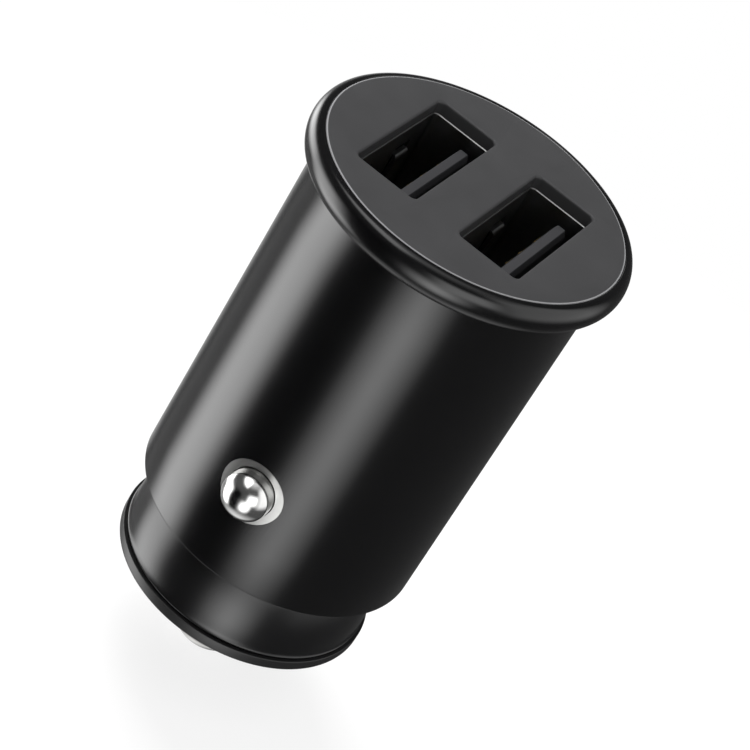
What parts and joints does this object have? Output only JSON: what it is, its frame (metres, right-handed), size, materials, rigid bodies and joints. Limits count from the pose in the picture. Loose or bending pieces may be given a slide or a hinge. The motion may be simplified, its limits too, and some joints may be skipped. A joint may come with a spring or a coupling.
{
  "type": "car charger plug",
  "caption": "Short round plug for a 12 V socket with USB-A ports in its flat end, a rolled rim, sprung side contacts and a sprung centre pin",
  "frame": {"origin": "on the plug's axis in the seat plane, where the mouth of the socket meets the barrel under the rim", "axes": "+Z along the plug's axis towards the ports; X across the two ports, side by side; the side contacts press out along -Y and +Y"},
  "size_m": [0.0242, 0.0254, 0.0454],
  "materials": {
    "satin_black_metal": "satin black anodised",
    "grey_face": "fine matt, dark grey",
    "black_moulding": "semi-gloss black",
    "nickel_plate": "bright plated",
    "spring_steel": "drawn wire",
    "port_steel": "plated sheet",
    "brass_sheet": "bright sheet",
    "port_moulding": "moulded black",
    "board_laminate": "green solder mask",
    "ferrite": "sintered, dull",
    "copper_wire": "enamelled copper wire",
    "can_sleeve": "drawn can",
    "chip_moulding": "moulded epoxy",
    "ceramic_body": "fired ceramic"
  },
  "bodies": {
    "plug": {"barrel_shell": "satin_black_metal", "face_plate": "grey_face", "tail_bell": "black_moulding", "end_cap": "black_moulding", "pin_spring": "spring_steel", "pin_seat": "brass_sheet", "front_bush": "nickel_plate", "rear_bush": "nickel_plate", "front_spring": "spring_steel", "rear_spring": "spring_steel", "front_spring_seat": "brass_sheet", "rear_spring_seat": "brass_sheet", "left_port_shell": "port_steel", "right_port_shell": "port_steel", "left_port_tongue": "port_moulding", "right_port_tongue": "port_moulding", "left_port_strips": "brass_sheet", "right_port_strips": "brass_sheet", "connector_board": "board_laminate", "power_board": "board_laminate", "choke_core": "ferrite", "choke_winding": "copper_wire", "input_capacitor": "can_sleeve", "output_capacitor": "can_sleeve", "converter_chip": "chip_moulding", "charging_chip": "chip_moulding", "rectifier_diode": "chip_moulding", "input_fuse": "ceramic_body", "ceramic_capacitors": "ceramic_body", "chip_resistors": "chip_moulding"},
    "centre_pin_body": {"centre_pin": "nickel_plate"},
    "front_contact_body": {"front_contact": "nickel_plate"},
    "rear_contact_body": {"rear_contact": "nickel_plate"}
  },
  "joints": [
    {"name": "centre_pin_press", "type": "slide", "parent": "plug", "child": "centre_pin_body", "axis": [0, 0, 1], "range_m": [0, 0.003], "stiffness_N_per_m": 1500, "springref_m": -0.0015, "deforming": ["pin_spring"]},
    {"name": "front_contact_press", "type": "slide", "parent": "plug", "child": "front_contact_body", "axis": [0, 1, 0], "range_m": [0, 0.0021], "stiffness_N_per_m": 1200, "springref_m": -0.001, "deforming": ["front_spring"]},
    {"name": "rear_contact_press", "type": "slide", "parent": "plug", "child": "rear_contact_body", "axis": [0, -1, 0], "range_m": [0, 0.0021], "stiffness_N_per_m": 1200, "springref_m": -0.001, "deforming": ["rear_spring"]}
  ]
}
